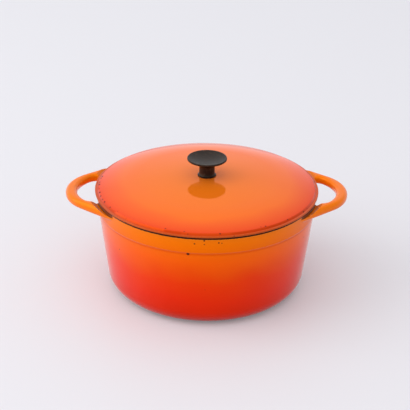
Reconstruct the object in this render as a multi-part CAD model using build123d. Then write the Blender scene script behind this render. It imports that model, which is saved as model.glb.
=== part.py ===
from build123d import *
import os
from math import acos, atan2, cos, hypot, pi, sin, sqrt, tan

# Round enamelled cast-iron casserole with two cast loop handles and a domed lid.
# Millimetres, +Z up, handles along X. The origin is on the table, under the middle of the pot.

# Pot: outside
rim_radius = 119.5
rim_height = 111.2
collar_height = 18.0
collar_step = 0.9
foot_edge_radius = 107.2
foot_corner_radius = 20.2
wall_bulge = 0.35
collar_edge_round = 0.7
collar_foot_round = 2.0

# Pot: thickness, floor and rim
wall_thickness = 3.7
floor_thickness = 4.2
foot_recess = 0.8
foot_ring_width = 6.0
rim_round = 1.4

# Loop handles
handle_reach = 34.8
handle_tip_radius = 47.4
handle_root_half_width = 88.9
handle_thickness = 10.0
handle_top_rise = 0.65
handle_round = 4.3
handle_root_round = 1.6
grip_width = 12.5
flank_width = 8.8
hole_half_width = 33.5
hole_corner_round = 12.0
hole_pot_round = 5.0

# Pocket sunk into the handles' roots, round the pot's collar
pocket_drop = 3.9
pocket_flat_width = 3.4
pocket_width = 9.5
pocket_round = 1.5

# Lid
lid_overhang = 2.5
lid_lip_width = 2.6
lid_lip_thickness = 1.8
lid_lip_gap = 1.1
lid_lip_round = 0.8
lid_lip_foot_round = 0.8
lid_seat_margin = 1.1
lid_step_width = 1.6
lid_step_height = 2.1
lid_step_round = 0.6
lid_rise = 11.0
lid_crown_curve_radius = 900.0
lid_shoulder_width = 37.8
lid_thickness = 3.9
lid_land_radius = 11.0
ring_clearance = 1.4
ring_thickness = 3.6
ring_height = 6.5
ring_round = 1.5
ring_inner_round = 3.0

# Knob
knob_radius = 21.65
knob_height = 20.9
knob_rim_thickness = 1.9
knob_rim_round = 0.8
knob_lip_width = 0.9
knob_dish_depth = 3.2
knob_stem_radius = 8.45
knob_foot_radius = 10.15
knob_foot_height = 1.1
knob_foot_flare = 2.2
knob_foot_round = 0.5
knob_flare_height = 13.2
knob_flare_round = 5.5

# Knob fixing: brass insert, machine screw and washer
insert_radius = 3.9
insert_length = 10.0
insert_clearance = 0.05
insert_end_gap = 0.3
insert_bevel = 0.4
screw_radius = 2.5
screw_engagement = 8.0
screw_clearance = 0.05
screw_hole_clearance = 0.35
screw_point_bevel = 0.5
screw_head_radius = 4.75
screw_head_height = 3.1
screw_head_round = 1.8
screw_slot_width = 1.2
screw_slot_depth = 1.4
washer_radius = 7.5
washer_thickness = 1.0
washer_clearance = 0.2
washer_round = 0.25

# How far a cut runs past the surface that it goes through
overrun = 5.0

# Places that follow from the sizes above
collar_bottom = rim_height - collar_height
wall_top_radius = rim_radius - collar_step
cavity_top_radius = wall_top_radius - wall_thickness
floor_top = foot_recess + floor_thickness
handle_top = rim_height + handle_top_rise
handle_bottom = handle_top - handle_thickness
handle_root_radius = (rim_radius + cavity_top_radius) / 2
handle_tip_reach = rim_radius + handle_reach
handle_tip_centre = handle_tip_reach - handle_tip_radius
handle_root_x = sqrt(cavity_top_radius**2 - handle_root_half_width**2)
hole_tip_reach = handle_tip_reach - grip_width
lid_radius = rim_radius + lid_overhang
lid_step_reach = lid_radius - lid_lip_width
lid_dome_reach = lid_step_reach - lid_step_width
lid_crown_reach = lid_dome_reach - lid_shoulder_width
lid_lip_bottom = rim_height + lid_lip_gap
lid_lip_top = lid_lip_bottom + lid_lip_thickness
lid_edge_top = lid_lip_top + lid_step_height
lid_apex = lid_edge_top + lid_rise
ring_outer_radius = cavity_top_radius - ring_clearance


def arc_drop(curve_radius, reach):
    """How far an arc has fallen at some distance from its crown."""
    return curve_radius - sqrt(curve_radius**2 - reach**2)


knob_seat = lid_apex - arc_drop(lid_crown_curve_radius, lid_land_radius)
washer_seat = knob_seat - lid_thickness


def round_corner(section, corner, radius):
    """Round one corner of a flat section, found by its place."""
    vertex = section.vertices().sort_by_distance(Vector(*corner))[0]
    return fillet(vertex, radius)


def turned(section):
    """Turn a half-section, drawn with X as radius and Y as height, into a solid."""
    return revolve(Plane.XZ * section, Axis.Z)


def pot_outer_section():
    """Half-section of the pot's outside, as if the pot were solid."""
    wall_foot = (foot_edge_radius, 0)
    wall_top = (wall_top_radius, collar_bottom)
    wall_middle = ((foot_edge_radius + wall_top_radius) / 2 + wall_bulge, collar_bottom / 2)
    collar_corner = (rim_radius, collar_bottom + collar_step)
    rim_corner = (rim_radius, rim_height)
    wall = ThreePointArc(wall_foot, wall_middle, wall_top)
    rest = Polyline(wall_top, collar_corner, rim_corner, (0, rim_height), (0, 0), wall_foot)
    section = make_face([wall, *rest.edges()])
    section = round_corner(section, wall_foot, foot_corner_radius)
    section = round_corner(section, collar_corner, collar_edge_round)
    section = round_corner(section, wall_top, collar_foot_round)
    return round_corner(section, rim_corner, rim_round)


def wall_radius(height):
    """Outer radius of the wall at a height, without its slight bulge."""
    share = height / collar_bottom
    return foot_edge_radius + (wall_top_radius - foot_edge_radius) * share


def cavity_section():
    """Half-section of the space inside the pot."""
    cavity_foot = (wall_radius(floor_top) - wall_thickness, floor_top)
    wall_top = (cavity_top_radius, collar_bottom)
    middle_height = (floor_top + collar_bottom) / 2
    wall_middle = (wall_radius(middle_height) - wall_thickness + wall_bulge, middle_height)
    mouth_height = rim_height + overrun
    mouth = [(cavity_top_radius, mouth_height), (0, mouth_height)]
    wall = ThreePointArc(cavity_foot, wall_middle, wall_top)
    rest = Polyline(wall_top, *mouth, (0, floor_top), cavity_foot)
    section = make_face([wall, *rest.edges()])
    return round_corner(section, cavity_foot, foot_corner_radius - wall_thickness)


def foot_recess_cut():
    """Shallow recess in the base that leaves a ring to stand on."""
    wall_lean = atan2(wall_top_radius - foot_edge_radius, collar_bottom)
    foot_radius = foot_edge_radius - foot_corner_radius * tan((pi / 2 - wall_lean) / 2)
    recess_radius = foot_radius - foot_ring_width
    return Cylinder(recess_radius, 2 * foot_recess)


def flank_turn():
    """Angle from the X axis to the line square to a handle's straight flank."""
    root_distance = hypot(handle_root_x - handle_tip_centre, handle_root_half_width)
    root_turn = atan2(handle_root_half_width, handle_root_x - handle_tip_centre)
    return root_turn - acos(handle_tip_radius / root_distance)


def handle_outline():
    """Plan of one handle: a round tip and two straight flanks that spread into the pot's wall."""
    flank_x = handle_tip_centre + handle_tip_radius * cos(flank_turn())
    flank_y = handle_tip_radius * sin(flank_turn())
    flank_ends = [(flank_x, flank_y), (flank_x, -flank_y)]
    roots = [(handle_root_x, handle_root_half_width), (handle_root_x, -handle_root_half_width)]
    tip = ThreePointArc(flank_ends[1], (handle_tip_reach, 0), flank_ends[0])
    rest = Polyline(flank_ends[0], roots[0], (0, 0), roots[1], flank_ends[1])
    return make_face([tip, *rest.edges()])


def handle_hole_outline():
    """Plan of the finger hole: a round tip and two straight sides, closed by the pot's own wall."""
    flank_distance = handle_tip_centre * cos(flank_turn()) + handle_tip_radius
    beyond_flank = hole_tip_reach - (flank_distance - flank_width)
    centre = beyond_flank / (1 - cos(flank_turn()))
    tip_radius = hole_tip_reach - centre
    strip = Rectangle(hole_tip_reach, 2 * hole_half_width, align=(Align.MIN, Align.CENTER))
    hole = strip & Pos(centre, 0) * Circle(tip_radius)
    corner_x = centre + sqrt(tip_radius**2 - hole_half_width**2)
    for side in (1, -1):
        hole = round_corner(hole, (corner_x, side * hole_half_width), hole_corner_round)
    hole = hole - Circle(wall_top_radius)
    meeting_x = sqrt(wall_top_radius**2 - hole_half_width**2)
    for side in (1, -1):
        hole = round_corner(hole, (meeting_x, side * hole_half_width), hole_pot_round)
    return hole


def pocket_cut():
    """Ring that sinks the handles' roots round the collar, flat at first and then sloping up."""
    pocket_floor = rim_height - pocket_drop
    flat_reach = rim_radius + pocket_flat_width
    slope = (handle_top - pocket_floor) / (pocket_width - pocket_flat_width)
    cut_top = handle_top + overrun
    slope_foot = (flat_reach, pocket_floor)
    slope_top = (flat_reach + (cut_top - pocket_floor) / slope, cut_top)
    inner = cavity_top_radius
    outline = Polyline((inner, pocket_floor), slope_foot, slope_top, (inner, cut_top), close=True)
    return turned(round_corner(make_face(outline.edges()), slope_foot, pocket_round))


def on_grip(edge):
    """Whether an edge lies level and outside the pot's wall."""
    middle = edge.center()
    level = abs((edge @ 0).Z - (edge @ 1).Z) < handle_thickness / 2
    return level and hypot(middle.X, middle.Y) > cavity_top_radius


def handle_body():
    """One loop handle, rounded all along, cut off inside the pot's wall."""
    plan = handle_outline() - handle_hole_outline()
    bar = extrude(Pos(0, 0, handle_bottom) * plan, handle_thickness)
    bar = fillet(bar.edges().filter_by(on_grip), handle_round)
    middle_height = (handle_top + handle_bottom) / 2
    pot_core = Pos(0, 0, middle_height) * Cylinder(handle_root_radius, 2 * handle_thickness)
    return bar - pot_core - pocket_cut()


def on_collar(edge):
    """Whether an edge lies on the collar, below its rounded top."""
    points = [edge @ 0, edge @ 0.5, edge @ 1]
    near = [abs(hypot(point.X, point.Y) - rim_radius) < collar_step / 2 for point in points]
    low = [handle_bottom - collar_step < point.Z < rim_height - 2 * rim_round for point in points]
    return all(near) and all(low)


def on_mouth(edge):
    """Whether an edge is the mouth of the cavity, level with the rim."""
    start = edge @ 0
    level = abs(start.Z - rim_height) < rim_round / 2
    return level and abs(hypot(start.X, start.Y) - cavity_top_radius) < rim_round / 2


def pot():
    """The pot and its two handles, one casting."""
    body = turned(pot_outer_section()) - foot_recess_cut()
    handle = handle_body()
    body = body + handle + Rot(0, 0, 180) * handle
    body = fillet(body.edges().filter_by(on_collar), handle_root_round)
    body = body - turned(cavity_section())
    return fillet(body.edges().filter_by(on_mouth), rim_round)


def dome_outline(lowered):
    """Crown arc and shoulder arc of the lid, from its flat land to its edge."""
    land_end = (lid_land_radius, knob_seat - lowered)
    shoulder_height = lid_apex - arc_drop(lid_crown_curve_radius, lid_crown_reach) - lowered
    shoulder = (lid_crown_reach, shoulder_height)
    edge = (lid_dome_reach, lid_edge_top - lowered)
    crown = RadiusArc(land_end, shoulder, lid_crown_curve_radius)
    return crown, TangentArc(shoulder, edge, tangent=crown % 1)


def lid():
    """Domed lid with a thin lip past a steep step, a flat seat and a locating ring beneath."""
    crown, side = dome_outline(0)
    land = Line((0, knob_seat), crown @ 0)
    step_top = (lid_dome_reach, lid_edge_top)
    step_foot = (lid_step_reach, lid_lip_top)
    lip_corners = [(lid_radius, lid_lip_top), (lid_radius, lid_lip_bottom)]
    seat_reach = rim_radius - lid_seat_margin
    ring_bottom = rim_height - ring_height
    ring_inner_radius = ring_outer_radius - ring_thickness
    ring_corners = [(ring_outer_radius, ring_bottom), (ring_inner_radius, ring_bottom)]
    rest = Polyline(
        step_top, step_foot, *lip_corners, (seat_reach, lid_lip_bottom), (seat_reach, rim_height),
        (ring_outer_radius, rim_height), *ring_corners, (ring_inner_radius, rim_height),
        (0, rim_height), (0, knob_seat),
    )
    solid = make_face([land, crown, side, *rest.edges()])
    solid = round_corner(solid, step_top, lid_step_round)
    solid = round_corner(solid, step_foot, lid_lip_foot_round)
    for corner in lip_corners:
        solid = round_corner(solid, corner, lid_lip_round)
    for corner in ring_corners:
        solid = round_corner(solid, corner, ring_round)
    inner_crown, inner_side = dome_outline(lid_thickness)
    inner_land = Line((0, washer_seat), inner_crown @ 0)
    hollow_foot = [(lid_dome_reach, ring_bottom), (0, ring_bottom)]
    hollow_rest = Polyline(inner_side @ 1, *hollow_foot, (0, washer_seat))
    hollow_top = make_face([inner_land, inner_crown, inner_side, *hollow_rest.edges()])
    hollow = hollow_top & Rectangle(ring_inner_radius, lid_apex, align=Align.MIN)
    hollow_corner = hollow.vertices().sort_by(Axis.X)[-2:].sort_by(Axis.Y)[-1]
    hollow = fillet(hollow_corner, ring_inner_round)
    body = turned(solid - hollow)
    hole = Pos(0, 0, knob_seat) * Cylinder(screw_radius + screw_hole_clearance, 4 * lid_thickness)
    return body - hole


def knob():
    """Dished knob with a slim stem, a flared foot and a socket for the insert."""
    foot_corner = (knob_foot_radius, 0)
    flare_start = (knob_foot_radius, knob_foot_height)
    flare_end = (knob_stem_radius, knob_foot_height + knob_foot_flare)
    stem_top = (knob_stem_radius, knob_flare_height)
    under_rim = (knob_radius, knob_height - knob_rim_thickness)
    rim_top = (knob_radius, knob_height)
    dish_reach = knob_radius - knob_lip_width
    dish_curve_radius = (dish_reach**2 + knob_dish_depth**2) / (2 * knob_dish_depth)
    dish_middle_height = knob_height - knob_dish_depth + arc_drop(dish_curve_radius, dish_reach / 2)
    dish_edge = (dish_reach, knob_height)
    dish_bottom = (0, knob_height - knob_dish_depth)
    flare = TangentArc(flare_end, flare_start, tangent=(0, -1))
    dish = ThreePointArc(dish_edge, (dish_reach / 2, dish_middle_height), dish_bottom)
    outline = [
        *Polyline(dish_bottom, (0, 0), foot_corner, flare_start).edges(),
        flare,
        *Polyline(flare_end, stem_top, under_rim, rim_top, dish_edge).edges(),
        dish,
    ]
    section = make_face(outline)
    section = round_corner(section, stem_top, knob_flare_round)
    section = round_corner(section, foot_corner, knob_foot_round)
    for corner in (under_rim, rim_top):
        section = round_corner(section, corner, knob_rim_round)
    socket_radius = insert_radius + insert_clearance
    socket_depth = insert_length + insert_end_gap
    socket = Cylinder(socket_radius, 2 * socket_depth)
    return Pos(0, 0, knob_seat) * (turned(section) - socket)


def knob_insert():
    """Brass bush in the knob's stem, drawn with a plain bore at the thread's outer size."""
    middle = (0, 0, knob_seat + insert_length / 2)
    bush = Pos(*middle) * Cylinder(insert_radius, insert_length)
    bush = chamfer(bush.edges().filter_by(GeomType.CIRCLE), insert_bevel)
    return bush - Pos(*middle) * Cylinder(screw_radius + screw_clearance, 2 * insert_length)


def screw_washer():
    """Plain washer between the screw's head and the lid's underside."""
    middle = Pos(0, 0, washer_seat - washer_thickness / 2)
    disc = middle * Cylinder(washer_radius, washer_thickness)
    disc = fillet(disc.edges().filter_by(GeomType.CIRCLE), washer_round)
    return disc - middle * Cylinder(screw_radius + washer_clearance, 2 * washer_thickness)


def knob_screw():
    """Slotted machine screw, head down, drawn at the thread's outer size."""
    head_top = washer_seat - washer_thickness
    shank_top = knob_seat + screw_engagement
    shank = Pos(0, 0, (head_top + shank_top) / 2) * Cylinder(screw_radius, shank_top - head_top)
    shank = chamfer(shank.edges().group_by(Axis.Z)[-1], screw_point_bevel)
    head = Pos(0, 0, head_top - screw_head_height / 2) * Cylinder(screw_head_radius, screw_head_height)
    head = fillet(head.edges().filter_by(GeomType.CIRCLE).group_by(Axis.Z)[0], screw_head_round)
    slot_middle = head_top - screw_head_height
    slot = Pos(0, 0, slot_middle) * Box(4 * screw_head_radius, screw_slot_width, 2 * screw_slot_depth)
    return shank + (head - slot)


nodes = {
    "pot": pot(),
    "lid": lid(),
    "knob": knob(),
    "knob_insert": knob_insert(),
    "screw_washer": screw_washer(),
    "knob_screw": knob_screw(),
}

os.makedirs("parts", exist_ok=True)
for name, shape in nodes.items():
    export_step(shape, f"parts/{name}.step")
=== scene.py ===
import math
import bpy
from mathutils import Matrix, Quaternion, Vector


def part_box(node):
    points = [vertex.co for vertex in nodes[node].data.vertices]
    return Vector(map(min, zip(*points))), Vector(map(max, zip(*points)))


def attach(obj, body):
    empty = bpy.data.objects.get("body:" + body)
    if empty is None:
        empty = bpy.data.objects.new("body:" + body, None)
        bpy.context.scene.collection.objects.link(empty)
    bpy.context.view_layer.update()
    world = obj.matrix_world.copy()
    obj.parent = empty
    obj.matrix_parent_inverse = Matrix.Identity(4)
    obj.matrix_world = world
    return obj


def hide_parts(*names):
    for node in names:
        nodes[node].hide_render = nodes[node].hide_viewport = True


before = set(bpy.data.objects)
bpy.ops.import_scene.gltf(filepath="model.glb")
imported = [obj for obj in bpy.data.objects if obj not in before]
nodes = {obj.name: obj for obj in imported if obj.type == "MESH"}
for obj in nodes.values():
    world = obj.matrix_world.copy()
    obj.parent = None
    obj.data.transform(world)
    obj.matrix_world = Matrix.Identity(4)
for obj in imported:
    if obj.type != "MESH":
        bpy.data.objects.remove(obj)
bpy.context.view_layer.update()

# Enamelled cast-iron casserole with a lid, on a pale floor in soft studio light.
# The scene is in metres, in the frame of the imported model: +Z up, handles along X, base on z = 0.
# Sizes of the pieces, and of the patterns on them, are given in millimetres.

mm = 0.001
print("frame loaded:", ", ".join(sorted(nodes)))


# Camera, placed as the photograph's own: distances in metres, angles in degrees
view = {
    "target": Vector((0, 0, 113.5 * mm)),
    "targetPixel": (206.75, 186.4),
    "imagePixels": 410,
    "focalPixels": 1113.5,
    "distance": 1.22,
    "azimuth": -0.72,
    "elevation": 24.76,
    "roll": 0.8,
    "clipEnd": 50,
}


def addCamera():
    azimuth, elevation = math.radians(view["azimuth"]), math.radians(view["elevation"])
    level = math.cos(elevation)
    towards = Vector((math.sin(azimuth) * level, -math.cos(azimuth) * level, math.sin(elevation)))
    turn = (-towards).to_track_quat("-Z", "Y")
    turn = turn @ Quaternion((0, 0, 1), math.radians(view["roll"]))
    bpy.ops.object.camera_add(
        location=view["target"] + towards * view["distance"], rotation=turn.to_euler()
    )
    camera = bpy.context.object
    camera.name = "camera"
    size = view["imagePixels"]
    camera.data.lens = camera.data.sensor_width * view["focalPixels"] / size
    camera.data.shift_x = (size / 2 - view["targetPixel"][0]) / size
    camera.data.shift_y = (view["targetPixel"][1] - size / 2) / size
    camera.data.clip_end = view["clipEnd"]
    bpy.context.scene.camera = camera


# Studio: a pale floor that runs past the picture, a large soft key from the left with a weak fill
# from the front, and a white room, brightest along the horizon and on the left
studio = {
    "floorSize": 14.0,
    "floorColor": "d1cfd2",
    "floorRoughness": 0.5,
    "floorGloss": 0.2,
    "floorGlow": 0.22,
    "worldStops": [
        (0.00, "fbfdff"), (0.20, "e6e8ec"), (0.42, "cfd1d5"), (0.70, "dcdee2"), (1.00, "e4e6ea"),
    ],
    "worldStrength": 1.46,
    "rightShade": 0.66,
    "lamps": [  # name, place and width in metres, power in watts
        ("key", (-2.4, -0.4, 1.6), 2.6, 33),
        ("fill", (0, -1.5, 2.3), 2.0, 6),
    ],
}


def srgb(code):
    channels = [int(code[i:i + 2], 16) / 255 for i in (0, 2, 4)]
    linear = [c / 12.92 if c <= 0.04045 else ((c + 0.055) / 1.055) ** 2.4 for c in channels]
    return (*linear, 1)


# Adds a node; an input may be a value, a socket or another node, and "stops" fills a colour ramp
def addNode(tree, kind, settings=None, inputs=None):
    node = tree.nodes.new(kind)
    for name, value in (settings or {}).items():
        if name == "stops":
            elements = node.color_ramp.elements
            while len(elements) < len(value):
                elements.new(1)
            for element, (position, code) in zip(elements, value):
                element.position = position
            for element, (position, code) in zip(elements, value):
                element.color = srgb(code)
        else:
            setattr(node, name, value)
    for name, value in (inputs or {}).items():
        if isinstance(value, bpy.types.Node):
            value = next(socket for socket in value.outputs if socket.enabled)
        if isinstance(value, bpy.types.NodeSocket):
            tree.links.new(value, node.inputs[name])
        else:
            node.inputs[name].default_value = value
    return node


def newMaterial(name):
    material = bpy.data.materials.new(name)
    material.use_nodes = True
    material.node_tree.nodes.clear()
    return material


# Painted floor: smooth and nearly matt. It glows faintly for the camera and in reflections, which
# keeps it as pale as the photograph's and puts no light on the pot.
def addFloor():
    bpy.ops.mesh.primitive_plane_add(size=studio["floorSize"], location=(0, 0, 0))
    floor = bpy.context.object
    floor.name = "floor"
    paint = newMaterial("paleFloor")
    tree = paint.node_tree
    rays = addNode(tree, "ShaderNodeLightPath")
    seen = addNode(tree, "ShaderNodeMath", {"operation": "ADD"}, {
        0: rays.outputs["Is Camera Ray"], 1: rays.outputs["Is Glossy Ray"],
    })
    glow = addNode(tree, "ShaderNodeMath", {"operation": "MULTIPLY"}, {
        0: seen, 1: studio["floorGlow"],
    })
    surface = addNode(tree, "ShaderNodeBsdfPrincipled", inputs={
        "Base Color": srgb(studio["floorColor"]), "Roughness": studio["floorRoughness"],
        "Specular IOR Level": studio["floorGloss"],
        "Emission Color": srgb(studio["floorColor"]), "Emission Strength": glow,
    })
    addNode(tree, "ShaderNodeOutputMaterial", inputs={"Surface": surface})
    floor.data.materials.append(paint)


def addLamps():
    for name, place, size, power in studio["lamps"]:
        aim = (view["target"] - Vector(place)).to_track_quat("-Z", "Y").to_euler()
        bpy.ops.object.light_add(type="AREA", location=place, rotation=aim)
        lamp = bpy.context.object
        lamp.name = name
        lamp.data.size = size
        lamp.data.energy = power


def addRoom():
    world = bpy.data.worlds.new("studio")
    world.use_nodes = True
    tree = world.node_tree
    tree.nodes.clear()
    coordinates = addNode(tree, "ShaderNodeTexCoord")
    split = addNode(tree, "ShaderNodeSeparateXYZ", inputs={0: coordinates.outputs["Generated"]})
    sky = addNode(tree, "ShaderNodeValToRGB", {"stops": studio["worldStops"]}, {
        "Fac": split.outputs[2],
    })
    strength = addNode(tree, "ShaderNodeMapRange", inputs={
        "Value": split.outputs[0], "From Min": -1.0, "From Max": 1.0,
        "To Min": studio["worldStrength"],
        "To Max": studio["worldStrength"] * studio["rightShade"],
    })
    surface = addNode(tree, "ShaderNodeBackground", inputs={"Color": sky, "Strength": strength})
    addNode(tree, "ShaderNodeOutputWorld", inputs={"Surface": surface})
    bpy.context.scene.world = world
    bpy.context.scene.view_settings.view_transform = "Standard"


addCamera()
addFloor()
addLamps()
addRoom()
print("camera and studio placed")


# Where a point of the surface is, in millimetres, from its Object coordinates. The radius is its
# distance from the pot's axis.
def placeInMillimetres(tree):
    coordinates = addNode(tree, "ShaderNodeTexCoord")
    place = addNode(tree, "ShaderNodeMapping", inputs={
        "Vector": coordinates.outputs["Object"], "Scale": (1 / mm, 1 / mm, 1 / mm),
    })
    split = addNode(tree, "ShaderNodeSeparateXYZ", inputs={0: place})
    x, y, height = split.outputs
    level = addNode(tree, "ShaderNodeCombineXYZ", inputs={0: x, 1: y})
    radius = addNode(tree, "ShaderNodeVectorMath", {"operation": "LENGTH"}, {0: level})
    return {"place": place, "x": x, "radius": radius, "height": height}


# A mask that is 1 where all its limits are met. Each limit is the name of a value, with the two
# sizes between which the mask's soft edge goes from 0 to 1.
def zone(tree, at, limits):
    mask = None
    for name, start, full in limits:
        edge = addNode(tree, "ShaderNodeMapRange", {"interpolation_type": "SMOOTHSTEP"}, {
            "Value": at[name], "From Min": start, "From Max": full,
        })
        mask = edge if mask is None else addNode(
            tree, "ShaderNodeMath", {"operation": "MULTIPLY"}, {0: mask, 1: edge}
        )
    return mask


# One mask from several, on wherever one of them is
def anyOf(tree, masks):
    mask = masks[0]
    for other in masks[1:]:
        mask = addNode(tree, "ShaderNodeMath", {"operation": "MAXIMUM"}, {0: mask, 1: other})
    return mask


# Lays coats of colour over a ground, each where its mask is on
def layOver(tree, ground, coats):
    for mask, coat in coats:
        ground = addNode(tree, "ShaderNodeMix", {"data_type": "RGBA"}, {
            0: mask, 6: ground, 7: coat,
        })
    return ground


# What pot and lid share: the glass, the iron where it shows, and the edges of spots and chips
enamelLook = {
    "glossTint": "ff9a28",
    "haze": 0.38,
    "hazeRoughness": 0.25,
    "waveDepth": 0.035,
    "sprayNoise": (0.3, 0.7),  # the noise's usual lowest and highest value
    "ironColor": "360e05",
    "rustColor": "561c07",
    "rustWidth": 4.0,
    "rustZone": [("rust", 0.5, 0.7)],
    "ironGloss": 0.15,
    "gritWidth": 0.9,
    "gritDepth": 0.12,
    "pickStep": 0.01,  # how sharply cells with a speck are told from those without
    "speckCore": 0.35,  # full inside this share of a speck's radius
    "chipCore": 0.4,
}


# The sprayed shade: colour stops along one distance, moved to and fro a little as a hand sprays
def sprayedShade(tree, at, distance, look):
    uneven = addNode(tree, "ShaderNodeTexNoise", inputs={
        "Vector": at["place"], "Scale": 1 / look["unevenWidth"], "Detail": 1.5,
    })
    lowest, highest = enamelLook["sprayNoise"]
    shift = addNode(tree, "ShaderNodeMapRange", inputs={
        "Value": uneven, "From Min": lowest, "From Max": highest,
        "To Min": -look["unevenness"] / 2, "To Max": look["unevenness"] / 2,
    })
    shift = addNode(tree, "ShaderNodeMath", {"operation": "MULTIPLY"}, {
        0: shift, 1: zone(tree, at, look["unevenZone"]),
    })
    shifted = addNode(tree, "ShaderNodeMath", {"operation": "ADD"}, {0: at[distance], 1: shift})
    share = addNode(tree, "ShaderNodeMath", {"operation": "DIVIDE"}, {
        0: shifted, 1: look["reach"],
    })
    return addNode(tree, "ShaderNodeValToRGB", {"stops": look["stops"]}, {"Fac": share})


# Pale enamel on the sides that meet food, browned in patches by cooking
def innerEnamel(tree, at, look):
    stain = addNode(tree, "ShaderNodeTexNoise", inputs={
        "Vector": at["place"], "Scale": 1 / look["stainWidth"], "Detail": 5.0, "Roughness": 0.6,
    })
    stained = zone(tree, {**at, "stain": stain}, look["stainZone"])
    return layOver(tree, srgb(look["innerColor"]), [(stained, srgb(look["innerStain"]))])


# Masks of the spots where the glass is gone: specks, one in a share of a grid's irregular cells,
# and single chips at the places where they were seen, as (x, y, z, radius)
def lostGlass(tree, at, look):
    masks = []
    for specks in look["specks"]:
        cells = addNode(tree, "ShaderNodeTexVoronoi", inputs={
            "Vector": at["place"], "Scale": 1 / specks["cell"],
        })
        pick = addNode(tree, "ShaderNodeSeparateColor", inputs={0: cells.outputs["Color"]})
        without, edge = 1 - specks["share"], specks["radius"] / specks["cell"]
        here = {**at, "pick": pick.outputs[0], "away": cells.outputs["Distance"]}
        masks.append(zone(tree, here, [
            ("pick", without, without + enamelLook["pickStep"]),
            ("away", edge, enamelLook["speckCore"] * edge), *specks["within"],
        ]))
    for x, y, z, radius in look["chips"]:
        away = addNode(tree, "ShaderNodeVectorMath", {"operation": "DISTANCE"}, {
            0: at["place"], 1: (x, y, z),
        })
        masks.append(zone(tree, {"away": away.outputs["Value"]}, [
            ("away", radius, enamelLook["chipCore"] * radius),
        ]))
    return masks


# Vitreous enamel fired on cast iron: a deep clear gloss, slightly wavy as glass that has run.
# Where it is missing the iron shows, rough, dark and rust-brown.
def glassOnIron(tree, at, color, bare, look):
    wave = addNode(tree, "ShaderNodeTexNoise", inputs={
        "Vector": at["place"], "Scale": 1 / look["waveWidth"], "Detail": 2.0,
    })
    waves = addNode(tree, "ShaderNodeBump", inputs={
        "Height": wave, "Distance": enamelLook["waveDepth"] * mm,
    })
    glass = addNode(tree, "ShaderNodeBsdfPrincipled", inputs={
        "Base Color": color, "Roughness": look["roughness"], "IOR": look["ior"], "Normal": waves,
        "Specular Tint": srgb(enamelLook["glossTint"]), "Metallic": look["metallic"],
        "Sheen Weight": enamelLook["haze"], "Sheen Roughness": enamelLook["hazeRoughness"],
    })
    rust = addNode(tree, "ShaderNodeTexNoise", inputs={
        "Vector": at["place"], "Scale": 1 / enamelLook["rustWidth"], "Detail": 5.0,
    })
    rusty = zone(tree, {"rust": rust}, enamelLook["rustZone"])
    brown = layOver(tree, srgb(enamelLook["ironColor"]), [(rusty, srgb(enamelLook["rustColor"]))])
    grit = addNode(tree, "ShaderNodeTexNoise", inputs={
        "Vector": at["place"], "Scale": 1 / enamelLook["gritWidth"], "Detail": 4.0,
    })
    grain = addNode(tree, "ShaderNodeBump", inputs={
        "Height": grit, "Distance": enamelLook["gritDepth"] * mm,
    })
    iron = addNode(tree, "ShaderNodeBsdfPrincipled", inputs={
        "Base Color": brown, "Roughness": look["ironRoughness"], "Normal": grain,
        "Specular IOR Level": enamelLook["ironGloss"],
    })
    surface = addNode(tree, "ShaderNodeMixShader", inputs={0: bare, 1: glass, 2: iron})
    addNode(tree, "ShaderNodeOutputMaterial", inputs={"Surface": surface})


potLook = {
    # From the base to the rim, as shares of the reach; the darker pair is painted shade along the
    # collar's lower edge
    "stops": [
        (0.000, "7c140c"), (0.045, "bf1d0c"), (0.126, "dc1e06"), (0.300, "eb2304"),
        (0.490, "f03402"), (0.620, "f44b02"), (0.740, "fc5e02"), (0.810, "fb6602"),
        (0.822, "ec5800"), (0.840, "ec5a00"), (0.850, "f46a02"), (0.930, "f87402"),
        (1.000, "f87a0e"),
    ],
    "reach": 111.2,
    "unevenness": 9.0,
    "unevenWidth": 46.0,
    "unevenZone": [("height", 88, 70), ("height", 3, 24)],
    "thinGlazeAndHighlightColor": "f88420",  # lighter where the glaze pulls thin along the rim, and a painted highlight on the rim's rounding
    "thinGlazeAndHighlightZone": [("radius", 120.2, 119.8), ("height", 108.6, 109.4)],
    # The middle of the wall, which parts inside from outside: round at the corner, leaning above
    "cornerRadius": 89.4,
    "cornerHeight": 20.8,
    "wallLean": 0.1223,
    "innerZone": [("fromCorner", 18.5, 18.3)],
    "innerColor": "efe3cb",
    "innerStain": "d9c39d",
    "stainWidth": 24.0,
    "stainZone": [("stain", 0.45, 0.75), ("height", 60, 4)],
    # painted shade: the collar's face in the slots under the lid's edge, over the handles, darkened
    # where shade falls
    "pocketShadeColor": "7a3404",
    "pocketShadeZone": [
        ("sideways", 98.49, 98.51), ("radius", 122.0, 120.6), ("radius", 118.6, 119.2),
        ("height", 106.6, 107.4),
    ],
    "raggedWidth": 2.0,  # how the border of the bare iron wanders, along and up
    "raggedDepth": 0.9,
    "rimZone": [
        ("raggedHeight", 109.4, 109.7), ("radius", 119.9, 119.7), ("radius", 113.6, 114.0),
    ],
    "standingZone": [("raggedHeight", 0.35, 0.15), ("radius", 82.6, 83.0)],
    "specks": [
        {"cell": 5.0, "radius": 0.55, "share": 0.16,
         "within": [("radius", 120.2, 119.8), ("height", 100, 109)]},
        {"cell": 15.0, "radius": 0.9, "share": 0.2, "within": []},
    ],
    "chips": [
        (-19.5, -117.2, 92.2, 2.2), (-13.0, -118.8, 104.8, 1.1), (-3.1, -119.5, 104.5, 0.9),
        (-3.2, -119.5, 108.6, 1.2), (11.4, -119.0, 106.1, 1.1), (14.5, -118.6, 105.6, 0.8),
        (-110, -55.7, 110, 1.6),
    ],
    "roughness": 0.08,
    "ior": 1.5,
    "metallic": 0.1,
    "waveWidth": 6.0,
    "ironRoughness": 0.7,
}
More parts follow.
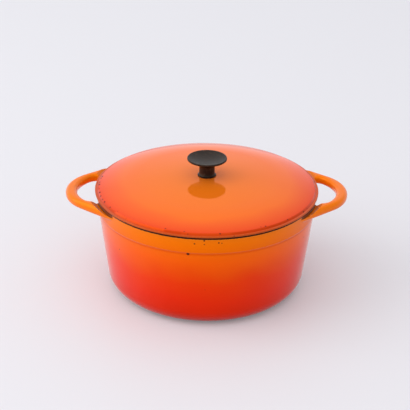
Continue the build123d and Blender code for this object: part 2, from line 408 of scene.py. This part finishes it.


# Enamel in a flame shade: sprayed red over orange before firing, so it deepens to red at the base.
# It is lighter along the rim, where the glaze pulls thin, with a painted highlight on the rim's
# rounding, and it carries painted shade in the slots between the lid's edge and the handles.
def potEnamel():
    look = potLook
    material = newMaterial("flameEnamelOnCastIron")
    tree = material.node_tree
    at = placeInMillimetres(tree)
    at["sideways"] = addNode(tree, "ShaderNodeMath", {"operation": "ABSOLUTE"}, {0: at["x"]})

    # How far a point lies from the centre of the round corner, or from the leaning line above it
    above = addNode(tree, "ShaderNodeMath", {"operation": "SUBTRACT"}, {
        0: at["height"], 1: look["cornerHeight"],
    })
    risen = addNode(tree, "ShaderNodeMath", {"operation": "MAXIMUM"}, {0: above, 1: 0})
    upright = addNode(tree, "ShaderNodeMath", {"operation": "MULTIPLY_ADD"}, {
        0: risen, 1: -look["wallLean"], 2: at["radius"],
    })
    outward = addNode(tree, "ShaderNodeMath", {"operation": "SUBTRACT"}, {
        0: upright, 1: look["cornerRadius"],
    })
    downward = addNode(tree, "ShaderNodeMath", {"operation": "MULTIPLY"}, {0: above, 1: -1})
    corner = addNode(tree, "ShaderNodeCombineXYZ", inputs={0: outward, 1: downward})
    corner = addNode(tree, "ShaderNodeVectorMath", {"operation": "MAXIMUM"}, {
        0: corner, 1: (0, 0, 0),
    })
    at["fromCorner"] = addNode(tree, "ShaderNodeVectorMath", {"operation": "LENGTH"}, {0: corner})

    color = layOver(tree, sprayedShade(tree, at, "height", look), [
        # lighter band along the rim: glaze pulled thin, with a painted highlight on the rim's
        # rounding
        (zone(tree, at, look["thinGlazeAndHighlightZone"]), srgb(look["thinGlazeAndHighlightColor"])),
        (zone(tree, at, look["innerZone"]), innerEnamel(tree, at, look)),
        # painted shade in the slots between the lid's edge and the handles
        (zone(tree, at, look["pocketShadeZone"]), srgb(look["pocketShadeColor"])),
    ])

    # Bare iron on the rim and on the ring that the pot stands on, both with a ragged border
    ragged = addNode(tree, "ShaderNodeTexNoise", inputs={
        "Vector": at["place"], "Scale": 1 / look["raggedWidth"], "Detail": 3.0,
    })
    lowered = addNode(tree, "ShaderNodeMath", {"operation": "SUBTRACT"}, {
        0: at["height"], 1: look["raggedDepth"] / 2,
    })
    at["raggedHeight"] = addNode(tree, "ShaderNodeMath", {"operation": "MULTIPLY_ADD"}, {
        0: ragged, 1: look["raggedDepth"], 2: lowered,
    })
    bare = anyOf(tree, [
        zone(tree, at, look["rimZone"]), zone(tree, at, look["standingZone"]),
        *lostGlass(tree, at, look),
    ])
    glassOnIron(tree, at, color, bare, look)
    return material


lidLook = {
    # From the knob outwards, as shares of the reach; the darker pair is painted shade at the crease
    # above the lip, and the lighter stop after it a painted highlight along the lip
    "stops": [
        (0.000, "fa7c06"), (0.300, "fa7a0a"), (0.560, "fa7614"), (0.760, "fa7020"),
        (0.860, "f56024"), (0.930, "f15222"), (0.962, "ec4820"), (0.970, "cc3c10"),
        (0.979, "c4380a"), (0.986, "dc5618"), (1.000, "b84a1c"),
    ],
    "reach": 122.0,
    "unevenness": 8.0,
    "unevenWidth": 50.0,
    "unevenZone": [("radius", 112, 96)],
    # The middle of the shell, which parts under from over: a low crown, then a steeper shoulder
    "crownRadius": 80.0,
    "crownHeights": (125.2, 121.6),
    "shoulderRadius": 117.8,
    "shoulderDrop": 7.4,
    "innerZone": [("depth", -0.2, 0.2), ("radius", 118.6, 118.3)],  # depth below that middle
    "innerColor": "ece0c8",
    "innerStain": "cdb48c",
    "stainWidth": 20.0,
    "stainZone": [("stain", 0.5, 0.8)],
    "lipShade": "300c04",
    "lipZone": [("radius", 118.0, 118.3), ("height", 112.75, 112.45)],
    "seatZone": [("radius", 113.0, 113.4), ("radius", 119.0, 118.7), ("height", 112.0, 111.5)],
    "specks": [
        {"cell": 4.6, "radius": 1.15, "share": 0.34,
         "within": [("radius", 115.2, 116.8), ("height", 111.0, 112.0)]},
        {"cell": 17.0, "radius": 0.7, "share": 0.12, "within": []},
    ],
    "chips": [
        (-115.8, 17.6, 116.3, 1.7), (-116.6, 13.0, 116.3, 1.3), (-117.5, 2.7, 116.3, 1.6),
        (-117.4, -3.6, 116.3, 1.9), (-116.6, -14.5, 116.3, 1.0), (-115.2, -23.7, 116.3, 1.7),
        (-113.7, -32.4, 116.3, 1.6), (-110.9, -40.6, 116.3, 1.3), (-108.5, -46.9, 116.3, 1.7),
        (-101.5, -60.0, 116.3, 1.3),
    ],
    "roughness": 0.05,
    "ior": 1.55,
    "metallic": 0.2,
    "waveWidth": 7.0,
    "ironRoughness": 0.6,
}


# The same enamel on the lid: orange at the knob, going to red at the edge, with pinholes and
# painted shade along the crease and a painted highlight along the lip. Underneath it is pale, the
# lip is in shade, and the seat is unglazed and dark.
def lidEnamel():
    look = lidLook
    material = newMaterial("flameEnamelOnLid")
    tree = material.node_tree
    at = placeInMillimetres(tree)

    crown = addNode(tree, "ShaderNodeMapRange", inputs={
        "Value": at["radius"], "From Min": 0, "From Max": look["crownRadius"],
        "To Min": look["crownHeights"][0], "To Max": look["crownHeights"][1],
    })
    shoulder = addNode(tree, "ShaderNodeMapRange", inputs={
        "Value": at["radius"], "From Min": look["crownRadius"], "From Max": look["shoulderRadius"],
        "To Min": 0, "To Max": look["shoulderDrop"],
    })
    dome = addNode(tree, "ShaderNodeMath", {"operation": "SUBTRACT"}, {0: crown, 1: shoulder})
    at["depth"] = addNode(tree, "ShaderNodeMath", {"operation": "SUBTRACT"}, {
        0: dome, 1: at["height"],
    })

    color = layOver(tree, sprayedShade(tree, at, "radius", look), [
        (zone(tree, at, look["innerZone"]), innerEnamel(tree, at, look)),
        (zone(tree, at, look["lipZone"]), srgb(look["lipShade"])),
    ])
    bare = anyOf(tree, [zone(tree, at, look["seatZone"]), *lostGlass(tree, at, look)])
    glassOnIron(tree, at, color, bare, look)
    return material


# Fine rings as a turning tool leaves them: a height that waves once in each pitch
def toolRings(tree, distance, pitch):
    turned = addNode(tree, "ShaderNodeMath", {"operation": "MULTIPLY"}, {
        0: distance, 1: 2 * math.pi / pitch,
    })
    return addNode(tree, "ShaderNodeMath", {"operation": "SINE"}, {0: turned})


knobLook = {
    "color": "1a1411",
    "wornColor": "46382f",
    "mottleWidth": 3.4,
    "wornZone": [("cloud", 0.45, 0.8)],
    "roughness": (0.4, 0.62),  # where new, where worn
    "ior": 1.36,
    "glossTint": "f0c8a8",
    "ringPitch": 0.8,  # coarser than a real mould's rings, so that they show
    "ringDepth": 0.012,
    "grainWidth": 0.6,
    "grainDepth": 0.01,
}


# Moulded phenolic: near-black and satin, clouded and dulled to brown-grey by years in the oven.
# It has taken the mould's turned rings and a fine grain.
def knobPhenolic():
    look = knobLook
    material = newMaterial("mouldedPhenolic")
    tree = material.node_tree
    at = placeInMillimetres(tree)
    at["cloud"] = addNode(tree, "ShaderNodeTexNoise", inputs={
        "Vector": at["place"], "Scale": 1 / look["mottleWidth"], "Detail": 5.0, "Roughness": 0.65,
    })
    worn = zone(tree, at, look["wornZone"])
    color = layOver(tree, srgb(look["color"]), [(worn, srgb(look["wornColor"]))])
    new, old = look["roughness"]
    roughness = addNode(tree, "ShaderNodeMix", inputs={0: worn, 2: new, 3: old})
    rings = addNode(tree, "ShaderNodeBump", inputs={
        "Height": toolRings(tree, at["radius"], look["ringPitch"]),
        "Distance": look["ringDepth"] * mm, "Strength": 0.5,
    })
    grain = addNode(tree, "ShaderNodeTexNoise", inputs={
        "Vector": at["place"], "Scale": 1 / look["grainWidth"], "Detail": 3.0,
    })
    bump = addNode(tree, "ShaderNodeBump", inputs={
        "Height": grain, "Distance": look["grainDepth"] * mm, "Normal": rings,
    })
    shader = addNode(tree, "ShaderNodeBsdfPrincipled", inputs={
        "Base Color": color, "Roughness": roughness, "IOR": look["ior"], "Normal": bump,
        "Specular Tint": srgb(look["glossTint"]),
    })
    addNode(tree, "ShaderNodeOutputMaterial", inputs={"Surface": shader})
    return material


metalLook = {
    "brass": {"clean": "c9a25a", "tarnish": "7d5f2e", "roughness": (0.28, 0.5)},
    "steel": {"clean": "b9b6b0", "tarnish": "7c756c", "roughness": (0.22, 0.48)},
    "blotchWidth": 1.6,
    "dullZone": [("blotch", 0.45, 0.75)],
    "ringPitch": 0.25,
    "ringDepth": 0.006,
}


# Brass and steel, turned or stamped: bright, with fine rings from the tool and a patchy tarnish
# that dulls the shine
def machinedMetal(name, metal):
    finish = metalLook[metal]
    material = newMaterial(name)
    tree = material.node_tree
    at = placeInMillimetres(tree)
    at["blotch"] = addNode(tree, "ShaderNodeTexNoise", inputs={
        "Vector": at["place"], "Scale": 1 / metalLook["blotchWidth"],
        "Detail": 5.0, "Roughness": 0.6,
    })
    dull = zone(tree, at, metalLook["dullZone"])
    color = layOver(tree, srgb(finish["clean"]), [(dull, srgb(finish["tarnish"]))])
    shiny, tarnished = finish["roughness"]
    roughness = addNode(tree, "ShaderNodeMix", inputs={0: dull, 2: shiny, 3: tarnished})
    along = addNode(tree, "ShaderNodeMath", {"operation": "ADD"}, {
        0: at["radius"], 1: at["height"],
    })
    bump = addNode(tree, "ShaderNodeBump", inputs={
        "Height": toolRings(tree, along, metalLook["ringPitch"]),
        "Distance": metalLook["ringDepth"] * mm, "Strength": 0.6,
    })
    shader = addNode(tree, "ShaderNodeBsdfPrincipled", inputs={
        "Base Color": color, "Metallic": 1.0, "Roughness": roughness, "Normal": bump,
    })
    addNode(tree, "ShaderNodeOutputMaterial", inputs={"Surface": shader})
    return material


nodes["pot"].data.materials[0] = potEnamel()
nodes["lid"].data.materials[0] = lidEnamel()
nodes["knob"].data.materials[0] = knobPhenolic()
nodes["screw_washer"].data.materials[0] = machinedMetal("stampedSteel", "steel")
print("enamel, phenolic and washer finished")


# Fine limits for making screw and bush: gaps in millimetres, angles in degrees
bench = {
    "mergeGap": 0.002,  # points nearer than this are one
    "cutGap": 0.001,  # points nearer than this to a cut lie in it
    "sliverGap": 0.02,  # closes the slivers that the slot's broken edges leave
    "sliverEdge": 0.01,
    "endGap": 0.01,  # left free at the ends, so that nothing leaves the CAD solid's box
    "smoothAngle": 35,  # edges flatter than this are shaded smooth
    "sharpAngle": 40,  # edges sharper than this are broken
}


# Draws half an outline in the XZ plane, from (radius, height) points
def drawProfile(name, points):
    bpy.ops.object.select_all(action="DESELECT")
    first = points[0]
    bpy.ops.mesh.primitive_plane_add(size=mm, location=(first[0] * mm, 0, first[1] * mm))
    piece = bpy.context.object
    piece.name = name
    bpy.ops.object.transform_apply(location=True, rotation=False, scale=False)
    bpy.ops.object.mode_set(mode="EDIT")
    bpy.ops.mesh.select_all(action="SELECT")
    bpy.ops.mesh.merge(type="CENTER")
    for start, end in zip(points, points[1:]):
        step = ((end[0] - start[0]) * mm, 0, (end[1] - start[1]) * mm)
        bpy.ops.mesh.extrude_region_move(TRANSFORM_OT_translate={"value": step})
    bpy.ops.object.mode_set(mode="OBJECT")
    return piece


# Turns the outline about the axis: once round for a lathe, or rising by a pitch for a thread
def turnProfile(piece, steps, pitch=0.0, turns=1):
    turn = piece.modifiers.new("turn", "SCREW")
    turn.steps = turn.render_steps = steps
    turn.screw_offset = pitch * mm
    turn.iterations = turns
    bpy.ops.object.modifier_apply(modifier=turn.name)
    bpy.ops.object.mode_set(mode="EDIT")
    bpy.ops.mesh.select_all(action="SELECT")
    bpy.ops.mesh.remove_doubles(threshold=bench["mergeGap"] * mm)
    bpy.ops.mesh.normals_make_consistent(inside=False)
    bpy.ops.object.mode_set(mode="OBJECT")


# Cuts a piece level at a height, takes off what is above or below, and closes the cut
def trim(piece, height, takeAbove):
    bpy.ops.object.mode_set(mode="EDIT")
    bpy.ops.mesh.select_all(action="SELECT")
    bpy.ops.mesh.bisect(
        plane_co=(0, 0, height * mm), plane_no=(0, 0, 1), threshold=bench["cutGap"] * mm,
        use_fill=True, clear_outer=takeAbove, clear_inner=not takeAbove,
    )
    bpy.ops.object.mode_set(mode="OBJECT")


def finishPiece(piece, body, node, material):
    bpy.ops.object.shade_smooth_by_angle(angle=math.radians(bench["smoothAngle"]))
    piece.data.materials.clear()
    piece.data.materials.append(material)
    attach(piece, body)
    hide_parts(node)


screw = {
    "headRadius": 4.74,
    "headHeight": 3.1,
    "sideHeight": 1.3,  # the straight part of the head's side, next to the washer
    "faceRadius": 2.9,  # the flat face that the slot crosses
    "headSteps": 48,
    "roundSteps": 6,
    "slotWidth": 1.2,
    "slotDepth": 1.4,
    "edgeWidth": 0.12,
    "threadPitch": 0.8,
    "threadCrest": 2.49,
    "threadRoot": 2.1,
    "threadStart": 1.6,  # above the face, so inside the head
    "threadSteps": 36,
    "toothShares": (0.12, 0.44, 0.56, 0.88),  # of the pitch: rise, crest, crest, fall
}


# Pan head: turned on a lathe, its slot milled, its edges broken
def modelHead(low):
    top = low + screw["headHeight"]
    side = top - screw["sideHeight"]
    rounding = screw["headRadius"] - screw["faceRadius"]
    outline = [(0, top), (screw["headRadius"], top), (screw["headRadius"], side)]
    for step in range(1, screw["roundSteps"] + 1):
        angle = math.radians(90 / screw["roundSteps"] * step)
        outline.append((
            screw["faceRadius"] + rounding * math.cos(angle),
            side - (side - low) * math.sin(angle),
        ))
    outline.append((0, low))
    head = drawProfile("slottedScrew", outline)
    turnProfile(head, screw["headSteps"])

    # The cutter is longer than the head is wide, and half of it stands clear below the face
    bpy.ops.object.select_all(action="DESELECT")
    bpy.ops.mesh.primitive_cube_add(size=1, location=(0, 0, low * mm), scale=(
        3 * screw["headRadius"] * mm, screw["slotWidth"] * mm, 2 * screw["slotDepth"] * mm,
    ))
    cutter = bpy.context.object
    bpy.context.view_layer.objects.active = head
    slot = head.modifiers.new("slot", "BOOLEAN")
    slot.object = cutter
    slot.operation = "DIFFERENCE"
    bpy.ops.object.modifier_apply(modifier=slot.name)
    bpy.data.objects.remove(cutter)

    head.select_set(True)
    edge = head.modifiers.new("edge", "BEVEL")
    edge.width = screw["edgeWidth"] * mm
    edge.segments = 2
    edge.limit_method = "ANGLE"
    edge.angle_limit = math.radians(bench["sharpAngle"])
    bpy.ops.object.modifier_apply(modifier=edge.name)
    bpy.ops.object.mode_set(mode="EDIT")
    bpy.ops.mesh.select_all(action="SELECT")
    bpy.ops.mesh.remove_doubles(threshold=bench["sliverGap"] * mm)
    bpy.ops.mesh.dissolve_degenerate(threshold=bench["sliverEdge"] * mm)
    bpy.ops.object.mode_set(mode="OBJECT")
    return head


# Shank: one tooth, turned as a helix and cut level at both ends
def modelThread(low, high):
    pitch, crest, root = screw["threadPitch"], screw["threadCrest"], screw["threadRoot"]
    start = low + screw["threadStart"]
    rise, crestStart, crestEnd, fall = (start + share * pitch for share in screw["toothShares"])
    shank = drawProfile("shank", [
        (root, start), (root, rise), (crest, crestStart), (crest, crestEnd), (root, fall),
        (root, start + pitch),
    ])
    turnProfile(shank, screw["threadSteps"], pitch, math.ceil((high - start) / pitch) + 1)
    trim(shank, start + pitch, False)
    trim(shank, high - bench["endGap"], True)
    return shank


# Slotted machine screw, which comes up through the lid into the bush
def addScrew():
    low, high = (corner[2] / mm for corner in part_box("knob_screw"))
    head = modelHead(low)
    shank = modelThread(low, high)
    bpy.ops.object.select_all(action="DESELECT")
    shank.select_set(True)
    head.select_set(True)
    bpy.context.view_layer.objects.active = head
    bpy.ops.object.join()
    steel = machinedMetal("turnedSteel", "steel")
    finishPiece(head, "screw", "knob_screw", steel)


bush = {
    "boreRadius": 2.55,
    "outerRadius": 3.88,
    "grooveRadius": 3.35,
    "grooveHalf": (0.8, 1.1),  # from the middle to the groove's floor's end, and to its shoulder
    "chamfer": 0.4,
    "knurlTeeth": 36,
    "knurlShare": 0.93,  # a valley's radius as a share of a tooth's
}


# Brass bush: moulded into the knob, so that a groove keeps it from pulling out and knurled bands
# keep it from turning
def addBush():
    low, high = (corner[2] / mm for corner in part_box("knob_insert"))
    bore, outer, groove = bush["boreRadius"], bush["outerRadius"], bush["grooveRadius"]
    bottom, top, chamfer = low + bench["endGap"], high - bench["endGap"], bush["chamfer"]
    middle = (low + high) / 2
    floor, shoulder = bush["grooveHalf"]
    piece = drawProfile("knurledBush", [
        (bore + chamfer, bottom), (outer - chamfer, bottom), (outer, low + chamfer),
        (outer, middle - shoulder), (groove, middle - floor), (groove, middle + floor),
        (outer, middle + shoulder), (outer, high - chamfer), (outer - chamfer, top),
        (bore + chamfer, top), (bore, high - chamfer), (bore, low + chamfer),
        (bore + chamfer, bottom),
    ])
    steps = 2 * bush["knurlTeeth"]
    turnProfile(piece, steps)

    # Every second row of the outside's points goes inwards, as the valleys between the teeth
    bpy.ops.object.mode_set(mode="EDIT")
    bpy.ops.mesh.select_all(action="DESELECT")
    bpy.ops.object.mode_set(mode="OBJECT")
    for vertex in piece.data.vertices:
        x, y = vertex.co.xy
        row = round(math.atan2(y, x) / (2 * math.pi) * steps)
        vertex.select = row % 2 == 1 and math.hypot(x, y) > (outer - bench["endGap"]) * mm
    bpy.ops.object.mode_set(mode="EDIT")
    bpy.ops.transform.resize(value=(bush["knurlShare"], bush["knurlShare"], 1))
    bpy.ops.object.mode_set(mode="OBJECT")
    brass = machinedMetal("turnedBrass", "brass")
    finishPiece(piece, "lid_carrier", "knob_insert", brass)


addScrew()
addBush()
print("screw and bush modelled")
